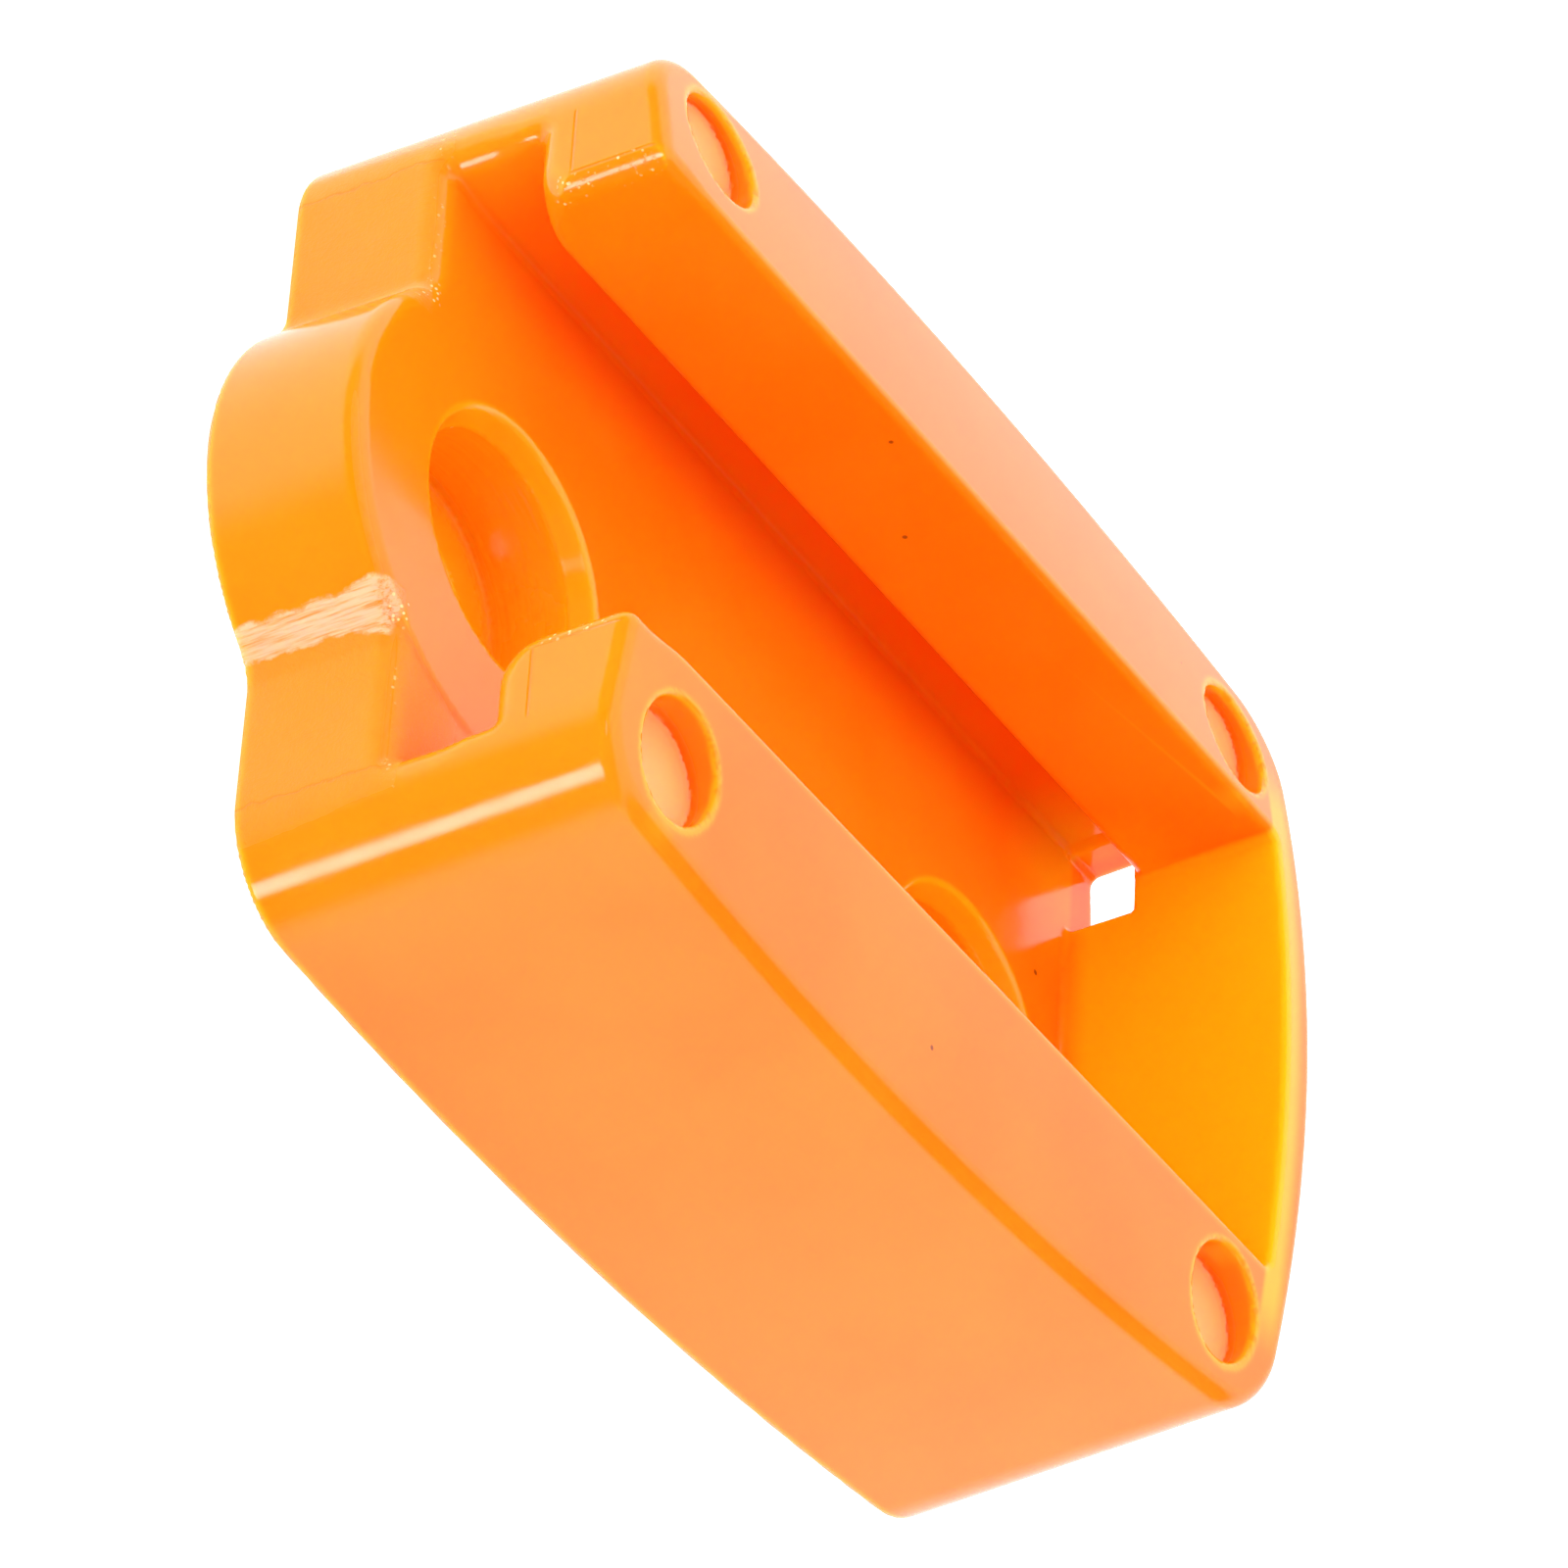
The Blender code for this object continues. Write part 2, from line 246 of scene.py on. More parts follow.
def grid_surface():
    """Quads on the zero level of the distance, with one corner in each grid cell it crosses."""
    margin = 3 * CELL
    starts = (-LUG_REACH - margin, -HALF_WIDTH - margin, -margin)
    stops = (CLOSED_END_X + margin, HALF_WIDTH + margin, CROWN_Z + margin)
    axes = [np.arange(a, b, CELL) for a, b in zip(starts, stops)]
    count = [len(axis) for axis in axes]
    level = np.empty(count, np.float32)
    across, up = np.meshgrid(axes[1], axes[2], indexing="ij")
    for index, along in enumerate(axes[0]):
        level[index] = distance(np.full_like(across, along), across, up)

    corners = [(i, j, k) for i in (0, 1) for j in (0, 1) for k in (0, 1)]
    cells = [n - 1 for n in count]

    def at_corner(i, j, k):
        return level[i:i + cells[0], j:j + cells[1], k:k + cells[2]]

    inside = sum((at_corner(*corner) < 0).astype(np.int8) for corner in corners)
    crossed = np.argwhere((inside > 0) & (inside < 8))
    number = np.full(cells, -1, np.int64)
    number[tuple(crossed.T)] = np.arange(len(crossed))

    total = np.zeros((len(crossed), 3))
    hits = np.zeros(len(crossed))
    for a in corners:
        for axis in range(3):
            if a[axis]:
                continue
            b = list(a)
            b[axis] = 1
            low = level[tuple((crossed + a).T)]
            high = level[tuple((crossed + b).T)]
            cut = (low < 0) != (high < 0)
            part = np.where(cut, low / np.where(cut, low - high, 1), 0)
            place = np.tile(np.array(a, float), (len(crossed), 1))
            place[:, axis] = part
            total[cut] += place[cut]
            hits[cut] += 1
    points = np.array(starts) + (crossed + total / hits[:, None]) * CELL

    quads = []
    for axis in range(3):
        ahead = [0, 0, 0]
        ahead[axis] = 1
        near = level[:count[0] - ahead[0], :count[1] - ahead[1], :count[2] - ahead[2]]
        far = level[ahead[0]:, ahead[1]:, ahead[2]:]
        edges = np.argwhere((near < 0) != (far < 0))
        outward = near[tuple(edges.T)] < 0
        one = np.eye(3, dtype=int)[(axis + 1) % 3]
        two = np.eye(3, dtype=int)[(axis + 2) % 3]
        ring = [number[tuple((edges - shift).T)] for shift in (one + two, two, 0 * one, one)]
        quad = np.stack(ring, axis=1)
        quads.append(np.where(outward[:, None], quad, quad[:, ::-1]))
    return points, np.concatenate(quads)


def mesh_from(name, points, quads):
    mesh = bpy.data.meshes.new(name)
    mesh.vertices.add(len(points))
    mesh.vertices.foreach_set("co", np.asarray(points, np.float32).ravel())
    mesh.loops.add(quads.size)
    mesh.loops.foreach_set("vertex_index", np.asarray(quads, np.int32).ravel())
    mesh.polygons.add(len(quads))
    mesh.polygons.foreach_set("loop_start", np.arange(0, quads.size, 4, dtype=np.int32))
    mesh.update(calc_edges=True)
    mesh.validate()
    return mesh


def unit_normals(points):
    normals = slope_at(points)
    return normals / np.linalg.norm(normals, axis=1)[:, None]


def flat_points(points, quads):
    """Numbers of the points with no turn of the surface within a few faces."""
    normals = unit_normals(points)
    sides = [(quads[:, a], quads[:, (a + 1) % 4]) for a in range(4)]
    turn = np.zeros(len(points))
    for one, other in sides:
        gap = np.linalg.norm(normals[one] - normals[other], axis=1)
        np.maximum.at(turn, one, gap)
        np.maximum.at(turn, other, gap)
    for _ in range(KEEP_RINGS):
        wider = turn.copy()
        for one, other in sides:
            np.maximum.at(wider, one, turn[other])
            np.maximum.at(wider, other, turn[one])
        turn = wider
    return np.flatnonzero(turn < STEADY_TURN)


def thinned(mesh, flat):
    """The same surface with fewer faces, all of them taken from round the flat points."""
    helper = bpy.data.objects.new("helper", mesh)
    bpy.context.scene.collection.objects.link(helper)
    group = helper.vertex_groups.new(name="flat")
    group.add(flat.tolist(), 1.0, "REPLACE")
    thin = helper.modifiers.new("Thin", "DECIMATE")
    thin.ratio = THINNING
    thin.vertex_group = group.name
    thin.vertex_group_factor = 1.0
    graph = bpy.context.evaluated_depsgraph_get()
    fewer = bpy.data.meshes.new_from_object(helper.evaluated_get(graph))
    bpy.data.objects.remove(helper, do_unlink=True)
    return fewer


def bend_at(points, normals):
    """How sharply the surface bends: positive on outer edges, negative in inner corners."""
    bend = np.zeros(len(points))
    for reach in (0.25, 0.5):
        outer = distance(*(points + reach * normals).T)
        inner = distance(*(points - reach * normals).T)
        bend += (outer + inner) / reach
    return bend


def make_body():
    """The fine mesh, thinned and settled, with exact normals and the bend of its surface."""
    points, quads = grid_surface()
    points = settle(points, 3)
    mesh = thinned(mesh_from("grid", points, quads), flat_points(points, quads))
    points = np.empty(len(mesh.vertices) * 3, np.float32)
    mesh.vertices.foreach_get("co", points)
    points = settle(points.reshape(-1, 3).astype(float), 2)
    normals = unit_normals(points)
    layer = mesh.attributes.new("bend", "FLOAT", "POINT")
    layer.data.foreach_set("value", bend_at(points, normals).astype(np.float32))
    placed = (points + (OPEN_END_X, 0, 0)) * MM
    mesh.vertices.foreach_set("co", placed.astype(np.float32).ravel())
    mesh.update()
    mesh.shade_smooth()
    mesh.normals_split_custom_set_from_vertices(normals.astype(np.float32))
    body = bpy.data.objects.new("moulded_body", mesh)
    bpy.context.scene.collection.objects.link(body)
    return body


class Nodes:
    """Small helper that adds and links shader nodes."""

    def __init__(self, tree):
        self.tree = tree

    def add(self, kind, **settings):
        node = self.tree.nodes.new(kind)
        for name, value in settings.items():
            setattr(node, name, value)
        return node

    def feed(self, socket, value):
        if isinstance(value, bpy.types.NodeSocket):
            self.tree.links.new(value, socket)
        else:
            socket.default_value = value

    def math(self, operation, *values):
        node = self.add("ShaderNodeMath", operation=operation)
        for socket, value in zip(node.inputs, values):
            self.feed(socket, value)
        return node.outputs[0]

    def noise(self, vector, scale, detail=2.0, rough=0.5):
        node = self.add("ShaderNodeTexNoise")
        self.feed(node.inputs["Vector"], vector)
        self.feed(node.inputs["Scale"], scale)
        self.feed(node.inputs["Detail"], detail)
        self.feed(node.inputs["Roughness"], rough)
        return node.outputs["Fac"]

    def ramp(self, value, start, end, low=0.0, high=1.0):
        node = self.add("ShaderNodeMapRange", interpolation_type="SMOOTHSTEP")
        for socket, setting in zip(node.inputs, (value, start, end, low, high)):
            self.feed(socket, setting)
        return node.outputs["Result"]

    def mix(self, factor, first, second):
        node = self.add("ShaderNodeMix", data_type="RGBA")
        self.feed(node.inputs["Factor"], factor)
        self.feed(node.inputs[6], first)
        self.feed(node.inputs[7], second)
        return node.outputs[2]

    def away(self, vector, place):
        """Distance from a fixed place."""
        node = self.add("ShaderNodeVectorMath", operation="DISTANCE")
        self.feed(node.inputs[0], vector)
        self.feed(node.inputs[1], place)
        return node.outputs["Value"]

    def product(self, *values):
        total = values[0]
        for value in values[1:]:
            total = self.math("MULTIPLY", total, value)
        return total

    def total(self, *values):
        result = values[0]
        for value in values[1:]:
            result = self.math("ADD", result, value)
        return result

    def between(self, value, low, high, soft):
        """1 where the value lies from low to high, with soft ends."""
        above = self.ramp(value, low - soft, low + soft)
        below = self.ramp(value, high + soft, high - soft)
        return self.product(above, below)

    def stretched(self, vector, scale):
        node = self.add("ShaderNodeVectorMath", operation="MULTIPLY")
        self.feed(node.inputs[0], vector)
        self.feed(node.inputs[1], scale)
        return node.outputs[0]

    def along(self, direction, axis):
        """Cosine of the angle between a direction and a fixed axis."""
        node = self.add("ShaderNodeVectorMath", operation="DOT_PRODUCT")
        self.feed(node.inputs[0], direction)
        self.feed(node.inputs[1], axis)
        return node.outputs["Value"]


# Places of the marks on the open end face: |y| of the torn bands with their painted highlight, the
# foot line and the lip line, the lip line's height, and the heap of crumb specks with their painted
# glints
SCUFF_AND_HIGHLIGHT_SIDE = (5.65, 6.65)
FOOT_LINE_SIDE = (11.78, 11.86)
LIP_LINE_SIDE = (9.22, 9.3)
LIP_LINE_LEVEL = (10.02, 10.1)
LIP_LINE_END = 11.8
LINE_SOFT = 0.04
CRUMB_AND_GLINT_HEAP = (-0.1, -6.1, FLOOR_Z - 0.2)
CRUMB_AND_GLINT_SCALE = 5.0
SPECK_SCALE = 0.22

# Base colours, linear
ORANGE = (1.0, 0.190, 0.002, 1)
ORANGE_LIGHTER = (1.0, 0.215, 0.004, 1)
PAINTED_OPEN_END_GLOW = (1.0, 0.29, 0.003, 1)
PAINTED_EDGE_GLOW = (1.0, 0.36, 0.010, 1)
PAINTED_CORNER_SHADE = (1.0, 0.15, 0.001, 1)
ERODED = (1.0, 0.25, 0.02, 1)
PAINTED_THROUGH_LIGHT = (1.0, 0.42, 0.003, 1)
PAINTED_BORE_LIGHT = (1.0, 0.40, 0.004, 1)
PAINTED_CONE_LIGHT = (1.0, 0.38, 0.004, 1)
PAINTED_UNDERCUT_SHADE = (1.0, 0.05, 0.001, 1)
PAINTED_PIT_SHEEN = (1.0, 0.48, 0.17, 1)
PAINTED_FILLET_HIGHLIGHT = (1.0, 0.56, 0.38, 1)
CRUMB_AND_GLINT = (1.0, 0.78, 0.42, 1)
WITNESS_LINE = (1.0, 0.16, 0.002, 1)
SPECK = (0.12, 0.02, 0.004, 1)

BUMP_STRENGTH = 0.5
PLASTIC_IOR = 1.45
SCATTER_RADIUS = (1.0, 0.7, 0.1)
SCATTER_SCALE = 1.2 * MM


class Spot:
    """Where a shaded point lies on the part, in millimetres from the open end face."""

    def __init__(self, make):
        from_end = make.add("ShaderNodeVectorMath", operation="SUBTRACT")
        make.feed(from_end.inputs[0], make.add("ShaderNodeTexCoord").outputs["Object"])
        make.feed(from_end.inputs[1], (OPEN_END_X * MM, 0, 0))
        self.at = make.stretched(from_end.outputs[0], (1 / MM, 1 / MM, 1 / MM))
        apart = make.add("ShaderNodeSeparateXYZ")
        make.feed(apart.inputs[0], self.at)
        self.x, self.y, self.z = apart.outputs
        self.side = make.math("ABSOLUTE", self.y)
        folded = make.add("ShaderNodeCombineXYZ")
        make.feed(folded.inputs[0], self.x)
        make.feed(folded.inputs[1], self.side)
        self.plan = folded.outputs[0]
        self.uneven = make.noise(self.at, 1.1, 4.0, 0.65)
        self.wander = make.math("SUBTRACT", self.uneven, 0.5)


def eroded_marks(make, spot):
    """Dull, spark-eroded surfaces: the end face below the floor, and the floor beside the disc."""
    end_face = make.product(make.ramp(spot.x, 0.5, 0.2), make.ramp(spot.side, 6.3, 6.8),
                            make.ramp(spot.z, FLOOR_Z + 0.4, FLOOR_Z))
    from_hole = make.away(spot.plan, (FIRST_HOLE_X, 0, 0))
    off_disc = make.ramp(from_hole, DISC_RADIUS - 0.1, DISC_RADIUS + 0.2)
    floor = make.product(make.between(spot.z, FLOOR_Z - 0.3, FLOOR_Z + 0.2, 0.05), off_disc,
                         make.ramp(spot.x, 5.0, 1.5), make.ramp(spot.y, 1.0, -1.0),
                         make.ramp(spot.side, WALL_Y + 1.2, WALL_Y + 0.9))
    return make.math("MAXIMUM", end_face, floor)


def from_nearest_hole(make, spot):
    """Distance in plan from the axis of the nearest screw hole."""
    return make.math("MINIMUM", make.away(spot.plan, (FIRST_HOLE_X, 0, 0)),
                     make.away(spot.plan, (SECOND_HOLE_X, 0, 0)))


def bore_tool_marks_and_light(make, spot):
    """Walls and ledges of the counterbores, with tool marks round them, and painted light that makes
    them lighter.
    """
    nearest = from_nearest_hole(make, spot)
    return make.product(make.ramp(nearest, RIM_RADIUS + 0.2, RIM_RADIUS),
                        make.ramp(spot.z, RECESS_TOP_Z + 0.1, RECESS_TOP_Z - 0.1))


def painted_cone_glow(make, spot):
    """The slopes at the counterbores' mouths, where lighter colour is painted in as light."""
    nearest = from_nearest_hole(make, spot)
    return make.product(make.ramp(nearest, RIM_RADIUS + 0.25, RIM_RADIUS),
                        make.between(spot.z, RECESS_TOP_Z, FLOOR_Z + 0.2, 0.1))


def painted_end_wall_glow(make, spot):
    """Painted light: the inside of the closed end wall, made yellower as if lit through, and a
    painted glow where the light of its two windows reaches.
    """
    wall = make.product(make.ramp(spot.x, CHANNEL_END_X - 0.4, CHANNEL_END_X - 0.1),
                        make.ramp(spot.x, CHANNEL_END_X + 1.2, CHANNEL_END_X + 0.4),
                        make.ramp(spot.z, 5.0, 6.5), make.ramp(spot.side, 12.0, 9.5))
    window = make.away(spot.at, (CHANNEL_END_X, WINDOW_MIDDLE_Y, MIDDLE_Z))
    other = make.away(spot.at, (CHANNEL_END_X, -WINDOW_MIDDLE_Y, MIDDLE_Z))
    glow = make.product(make.ramp(make.math("MINIMUM", window, other), 5.0, 0.5, 0.0, 0.8),
                        make.ramp(spot.x, CHANNEL_END_X + 0.6, CHANNEL_END_X + 0.1))
    return make.math("MAXIMUM", wall, glow)


def painted_undercut_shade(make, spot):
    """Painted shade under the lips: a deeper red where light has only been reflected by orange
    walls.
    """
    return make.product(make.ramp(spot.side, 7.0, 10.5), make.ramp(spot.side, 12.2, 11.9),
                        make.between(spot.z, FLOOR_Z - 0.1, ROOF_Z + 0.2, 0.2),
                        make.ramp(spot.x, 0.0, 8.0),
                        make.ramp(spot.x, CHANNEL_END_X, CHANNEL_END_X - 5.0))


def dull_pit_floors_and_sheen(make, spot):
    """Floors of the four ejector pits, which the pins have left dull, with a painted sheen in their
    pale colour.
    """
    nearest = FAR_AWAY
    for pit_x, pit_y in PIT_PLACES:
        nearest = make.math("MINIMUM", make.away(spot.plan, (pit_x, pit_y, 0)), nearest)
    return make.product(make.ramp(nearest, PIT_RADIUS, PIT_RADIUS - 0.06),
                        make.between(spot.z, PIT_FLOOR_Z - 0.2, PIT_FLOOR_Z + 0.06, 0.03))


def torn_bands_and_highlight(make, spot):
    """Torn bands on the lug beside the open end face, with a painted highlight, strong on one side
    and faint on the other.
    """
    shift = make.math("MULTIPLY", spot.wander, 0.6)
    wider = make.ramp(spot.z, FLOOR_Z - 2.0, FLOOR_Z, 0.0, 0.3)
    low = make.total(spot.side, shift, wider)
    high = make.math("SUBTRACT", make.math("ADD", spot.side, shift), wider)
    start, stop = SCUFF_AND_HIGHLIGHT_SIDE
    return make.product(make.ramp(low, start, start + 0.15), make.ramp(high, stop, stop - 0.15),
                        make.ramp(spot.x, 0.35, 0.15),
                        make.ramp(spot.z, FLOOR_Z + 0.05, FLOOR_Z - 0.1),
                        make.ramp(spot.y, -1.0, 1.0, 1.0, 0.2))


def crumbs_and_glints(make, spot):
    """Crumbs along the floor's edge at the mouth and on the corners of the lips' ends, painted pale
    for their glints.
    """
    cells = make.add("ShaderNodeTexVoronoi", feature="F1")
    make.feed(cells.inputs["Vector"], spot.at)
    make.feed(cells.inputs["Scale"], CRUMB_AND_GLINT_SCALE)
    dots = make.ramp(cells.outputs["Distance"], 0.34, 0.2)
    patchy = make.ramp(spot.uneven, 0.45, 0.6)
    on_floor = make.product(make.between(spot.x, -0.3, 0.55, 0.15), make.ramp(spot.side, 5.4, 5.9),
                            make.between(spot.z, FLOOR_Z - 0.35, FLOOR_Z + 0.1, 0.1))
    heap = make.away(spot.at, CRUMB_AND_GLINT_HEAP)
    patchy = make.math("MAXIMUM", patchy, make.ramp(heap, 1.0, 0.5))
    lip_side = make.between(spot.side, SLOT_HALF_WIDTH - 0.1, SLOT_HALF_WIDTH + 0.6, 0.1)
    on_lip = make.product(make.between(spot.x, 0.2, 1.1, 0.15), lip_side,
                          make.between(spot.z, ROOF_Z + 1.0, ROOF_Z + 4.6, 0.2))
    return make.product(dots, patchy, make.math("MAXIMUM", on_floor, on_lip))


def witness_lines(make, spot):
    """Thin lines that the mould's inserts left on the open end face."""
    foot_low, foot_high = FOOT_LINE_SIDE
    lip_low, lip_high = LIP_LINE_SIDE
    level_low, level_high = LIP_LINE_LEVEL
    side = make.math("ADD", spot.side, make.math("MULTIPLY", spot.wander, 0.7))
    below = make.product(make.between(side, foot_low, foot_high, LINE_SOFT),
                         make.ramp(spot.z, FLOOR_Z, FLOOR_Z - 0.3))
    upright = make.product(make.between(spot.side, lip_low, lip_high, LINE_SOFT),
                           make.ramp(spot.z, level_high - 0.2, level_high))
    level = make.product(make.between(spot.z, level_low, level_high, LINE_SOFT),
                         make.between(spot.side, lip_high, LIP_LINE_END, 0.1))
    lines = make.math("MAXIMUM", below, make.math("MAXIMUM", upright, level))
    return make.math("MULTIPLY", lines, make.ramp(spot.x, 0.55, 0.45))


def orange_plastic():
    """Glossy, slightly translucent orange moulding."""
    material = bpy.data.materials.new("orange_plastic")
    material.use_nodes = True
    shader = material.node_tree.nodes["Principled BSDF"]
    make = Nodes(material.node_tree)
    spot = Spot(make)
    bend = make.add("ShaderNodeAttribute", attribute_name="bend").outputs["Fac"]
    outer = make.ramp(bend, 0.25, 1.0)
    inner = make.ramp(bend, -0.15, -0.8)
    eroded = eroded_marks(make, spot)
    turned = bore_tool_marks_and_light(make, spot)
    pit_dull_and_sheen = dull_pit_floors_and_sheen(make, spot)
    torn_band_and_highlight = torn_bands_and_highlight(make, spot)
    grooves = make.noise(make.stretched(spot.at, (6.0, 6.0, 0.3)), 1.6, 4.0, 0.6)
    grooved_band_and_highlight = make.product(torn_band_and_highlight, make.ramp(grooves, 0.25, 0.6))
    flecks_and_glints = crumbs_and_glints(make, spot)
    lines = witness_lines(make, spot)
    dirt = make.add("ShaderNodeTexVoronoi", feature="F1")
    make.feed(dirt.inputs["Vector"], spot.at)
    make.feed(dirt.inputs["Scale"], SPECK_SCALE)
    specks = make.ramp(dirt.outputs["Distance"], 0.028, 0.016)

    cloudy = make.ramp(make.noise(spot.at, 0.11, 3.0), 0.35, 0.65)
    colour = make.mix(cloudy, ORANGE, ORANGE_LIGHTER)
    for share, amount, tint in (
            # painted light: the open end made yellower, as light shining through it
            (make.ramp(spot.x, 7.0, -1.0), 0.45, PAINTED_OPEN_END_GLOW),
            # painted light: outer edges made yellower, as light glowing through them
            (outer, 0.8, PAINTED_EDGE_GLOW),
            # painted shade: inner corners made darker and redder
            (inner, 0.5, PAINTED_CORNER_SHADE),
            (eroded, 0.35, ERODED),
            # painted light: the closed end wall and the glow of its windows
            (painted_end_wall_glow(make, spot), 1.0, PAINTED_THROUGH_LIGHT),
            # painted light: counterbore walls and ledges made lighter
            (turned, 0.7, PAINTED_BORE_LIGHT),
            # painted light: the counterbores' coned mouths made lighter
            (painted_cone_glow(make, spot), 0.8, PAINTED_CONE_LIGHT),
            # painted shade: deeper red under the lips
            (painted_undercut_shade(make, spot), 0.35, PAINTED_UNDERCUT_SHADE),
            # painted sheen on the pit floors
            (pit_dull_and_sheen, 0.8, PAINTED_PIT_SHEEN),
            # painted highlight in the torn bands on the lug
            (grooved_band_and_highlight, 0.75, PAINTED_FILLET_HIGHLIGHT),
            # pale crumb specks, partly their own colour and partly painted glints
            (flecks_and_glints, 0.85, CRUMB_AND_GLINT),
            (lines, 0.5, WITNESS_LINE),
            (specks, 0.75, SPECK)):
        colour = make.mix(make.math("MULTIPLY", share, amount), colour, tint)
    make.feed(shader.inputs["Base Color"], colour)

    smudge = make.ramp(make.noise(spot.at, 0.35, 4.0, 0.6), 0.4, 0.7, 0.10, 0.17)
    dull = [make.math("MULTIPLY", share, amount) for share, amount in (
        (eroded, 0.4), (pit_dull_and_sheen, 0.35), (turned, 0.12), (torn_band_and_highlight, 0.2), (inner, 0.45))]
    make.feed(shader.inputs["Roughness"], make.total(smudge, *dull))

    rings = make.noise(make.stretched(spot.at, (0.3, 0.3, 6.0)), 1.0, 2.0)
    relief = [make.math("MULTIPLY", height, amount) for height, amount in (
        (make.product(make.noise(spot.at, 7.0, 3.0, 0.65), eroded), 0.09),
        (make.product(rings, turned), 0.09),
        (make.noise(spot.at, 1.6, 2.0), 0.006),
        (grooved_band_and_highlight, 0.06),
        (flecks_and_glints, 0.06),
        (lines, -0.05))]
    bump = make.add("ShaderNodeBump")
    bump.inputs["Strength"].default_value = BUMP_STRENGTH
    bump.inputs["Distance"].default_value = MM
    make.feed(bump.inputs["Height"], make.total(*relief))
    make.feed(shader.inputs["Normal"], bump.outputs[0])

    shader.inputs["IOR"].default_value = PLASTIC_IOR
    shader.subsurface_method = "RANDOM_WALK"
    shader.inputs["Subsurface Weight"].default_value = 1.0
    shader.inputs["Subsurface Radius"].default_value = SCATTER_RADIUS
    shader.inputs["Subsurface Scale"].default_value = SCATTER_SCALE
    return material


# The tent, as glossy surfaces see it: dark sides with their direction and the cosines where they
# start and are full, and soft lamps with their direction, half angle in degrees and strength
TENT_LIGHT = 1.4
DARK_LEVEL = 0.1
DARK_SIDES = (
    ((-0.74, -0.67, 0.03), 0.42, 0.72),
    ((0.656, -0.62, 0.431), 0.78, 0.92),
    ((-0.8, 0.42, 0.38), 0.74, 0.9),
)
LAMPS = (
    ((-0.583, -0.713, -0.371), 9.0, 12.0),
    ((-0.78, -0.24, 0.57), 8.0, 2.5),
)
LAMP_CORE = 0.4
FLOOR_SIZE = 3.0
FLOOR_GAP = 0.02 * MM
PAPER_GREY = (0.5, 0.5, 0.5, 1)
PAPER_ROUGHNESS = 0.9
PAPER_GLOW = 1.0
WHITE = (1, 1, 1, 1)


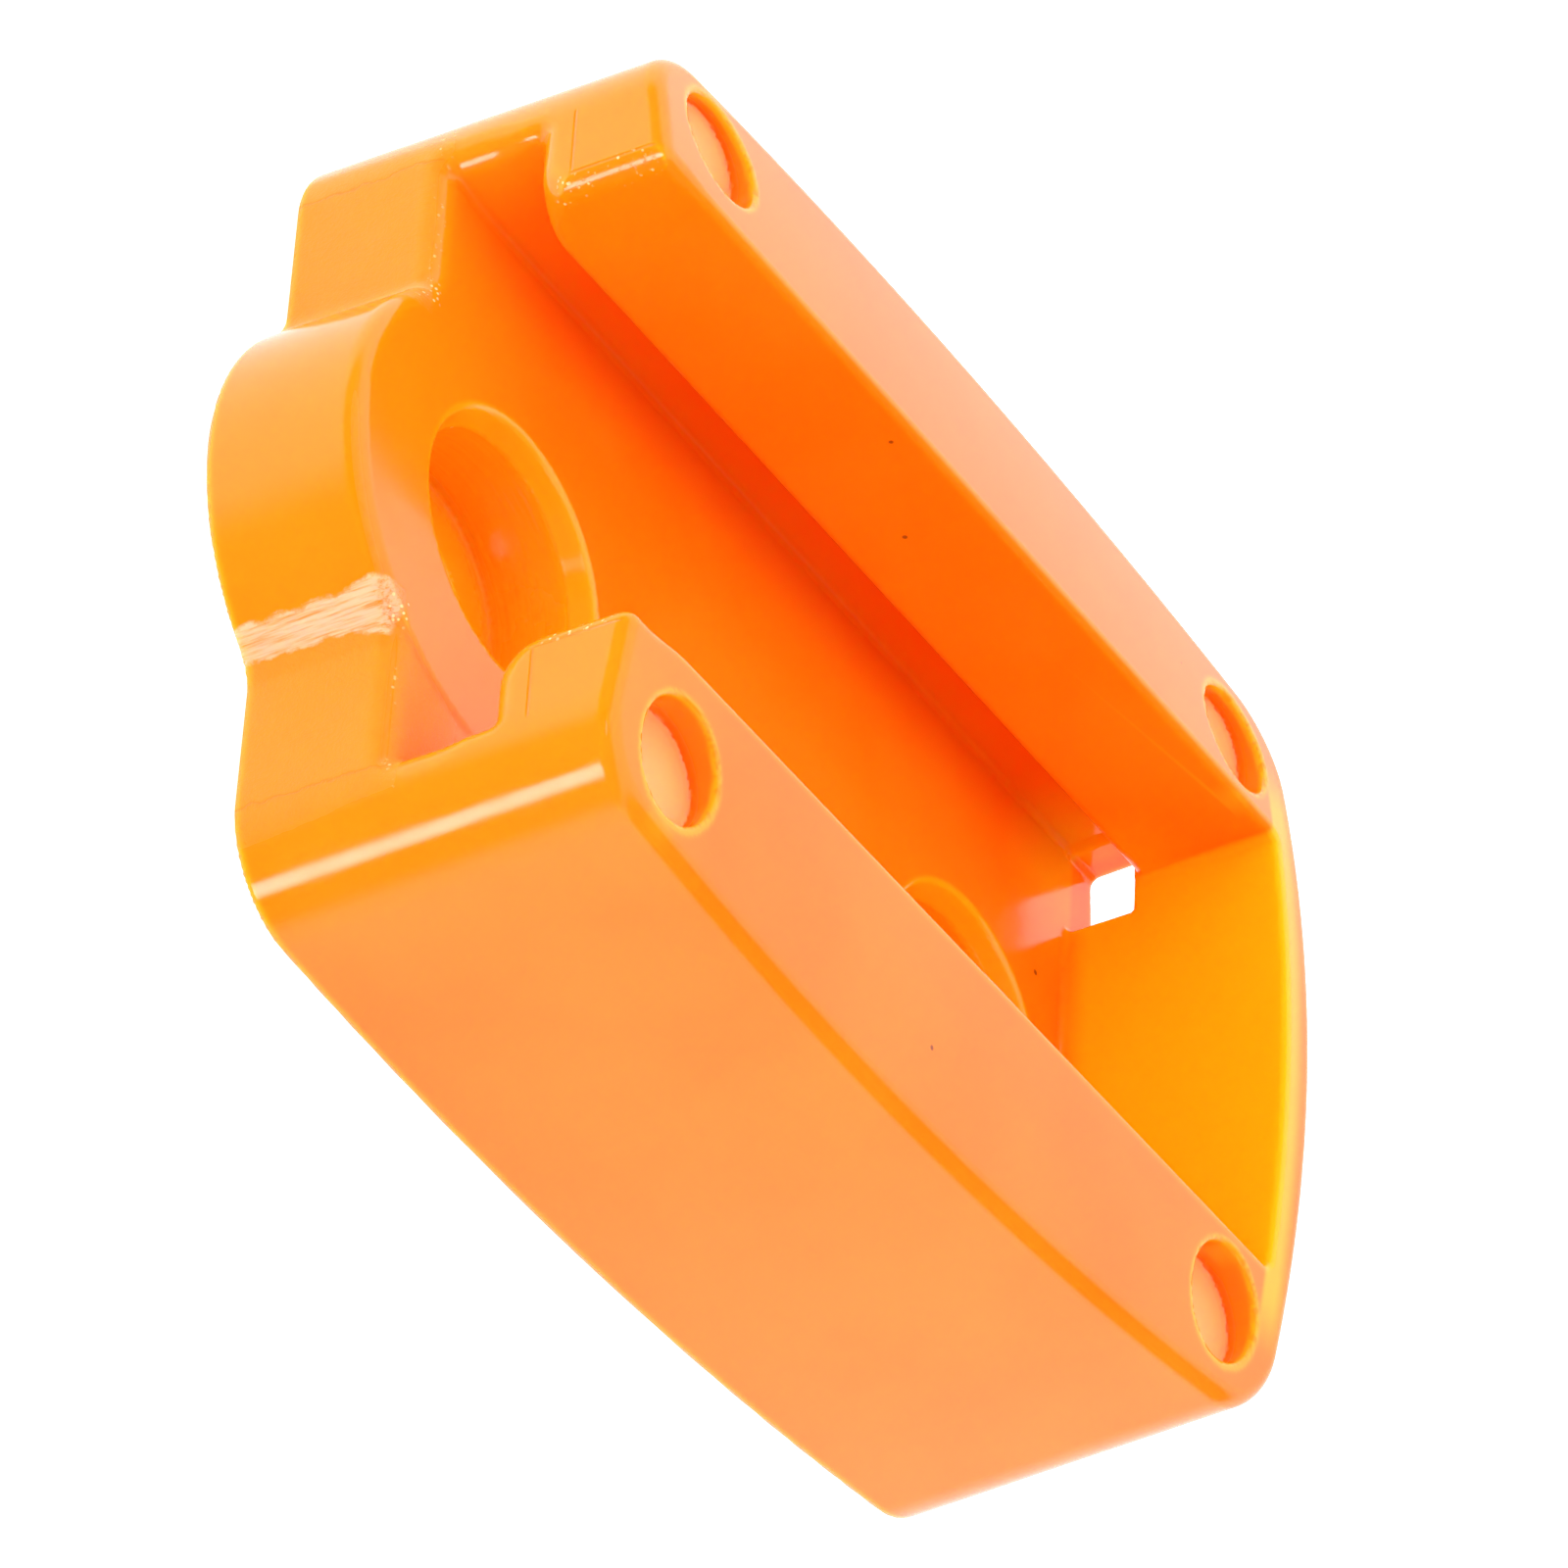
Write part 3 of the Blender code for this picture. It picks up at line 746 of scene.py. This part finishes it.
def make_tent():
    """A white light tent with an even glow, and a softly glowing table under the part."""
    world = bpy.data.worlds.new("light_tent")
    bpy.context.scene.world = world
    world.use_nodes = True
    world.cycles.sampling_method = "NONE"
    sky = world.node_tree.nodes["Background"]
    sky.inputs["Color"].default_value = WHITE
    make = Nodes(world.node_tree)
    towards = make.add("ShaderNodeTexCoord").outputs["Generated"]
    seen = TENT_LIGHT
    for place, start, end in DARK_SIDES:
        facing = make.along(towards, Vector(place).normalized())
        seen = make.math("MULTIPLY", make.ramp(facing, start, end, 1.0, DARK_LEVEL), seen)
    for place, half_angle, strength in LAMPS:
        facing = make.along(towards, Vector(place).normalized())
        edge = math.cos(math.radians(half_angle))
        core = math.cos(math.radians(half_angle * LAMP_CORE))
        seen = make.math("ADD", seen, make.ramp(facing, edge, core, 0.0, strength))
    glossy = make.add("ShaderNodeLightPath").outputs["Is Glossy Ray"]
    extra = make.math("MULTIPLY", glossy, make.math("SUBTRACT", seen, TENT_LIGHT))
    make.feed(sky.inputs["Strength"], make.math("ADD", extra, TENT_LIGHT))

    half = FLOOR_SIZE / 2
    mesh = bpy.data.meshes.new("floor")
    corners = [(-half, -half, 0), (half, -half, 0), (half, half, 0), (-half, half, 0)]
    mesh.from_pydata(corners, [], [(0, 1, 2, 3)])
    floor = bpy.data.objects.new("floor", mesh)
    floor.location.z = -FLOOR_GAP
    floor.visible_glossy = False
    bpy.context.scene.collection.objects.link(floor)
    paper = bpy.data.materials.new("glowing_white_table")
    paper.use_nodes = True
    shader = paper.node_tree.nodes["Principled BSDF"]
    shader.inputs["Base Color"].default_value = PAPER_GREY
    shader.inputs["Roughness"].default_value = PAPER_ROUGHNESS
    shader.inputs["Specular IOR Level"].default_value = 0.0
    shader.inputs["Emission Color"].default_value = WHITE
    shader.inputs["Emission Strength"].default_value = PAPER_GLOW
    mesh.materials.append(paper)


CAMERA_AZIMUTH = -46.755
CAMERA_ELEVATION = 25.804
CAMERA_ROLL = 71.078
CAMERA_TARGET = Vector((2.13, 1.60, 5.48)) * MM
CAMERA_DISTANCE = 280.26 * MM
CAMERA_LENS = 204.55
CAMERA_SENSOR = 36.0
CLIP_START = 0.01
CLIP_END = 10.0


def make_camera():
    """Long-lens camera, turned about its own axis so that the part's +Y edge points up."""
    azimuth = math.radians(CAMERA_AZIMUTH)
    elevation = math.radians(CAMERA_ELEVATION)
    flat = math.cos(elevation)
    back = Vector((math.sin(azimuth) * flat, -math.cos(azimuth) * flat, math.sin(elevation)))
    camera = bpy.data.objects.new("camera", bpy.data.cameras.new("camera"))
    camera.data.sensor_width = CAMERA_SENSOR
    camera.data.lens = CAMERA_LENS
    camera.data.clip_start = CLIP_START
    camera.data.clip_end = CLIP_END
    level = back.to_track_quat("Z", "Y").to_matrix()
    turned = level @ Matrix.Rotation(math.radians(CAMERA_ROLL), 3, "Z")
    place = Matrix.Translation(CAMERA_TARGET + back * CAMERA_DISTANCE)
    camera.matrix_world = place @ turned.to_4x4()
    bpy.context.scene.collection.objects.link(camera)
    bpy.context.scene.camera = camera


FILL_DISTANCE = 0.4
FILL_SIZE = 0.3
FILL_POWER = 0.6


def make_fill():
    """Large soft light that faces the open end."""
    light = bpy.data.lights.new("fill", "AREA")
    light.size = FILL_SIZE
    light.energy = FILL_POWER
    lamp = bpy.data.objects.new("fill", light)
    lamp.location = (-FILL_DISTANCE, 0, FILL_DISTANCE / 4)
    lamp.rotation_euler = (Vector(lamp.location)).to_track_quat("Z", "Y").to_euler()
    lamp.visible_glossy = False
    lamp.visible_camera = False
    bpy.context.scene.collection.objects.link(lamp)


def main():
    make_camera()
    make_tent()
    make_fill()
    body = make_body()
    body.data.materials.append(orange_plastic())
    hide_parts(NODE)
    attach(body, "root")
    bpy.context.scene.view_settings.view_transform = "Standard"


main()
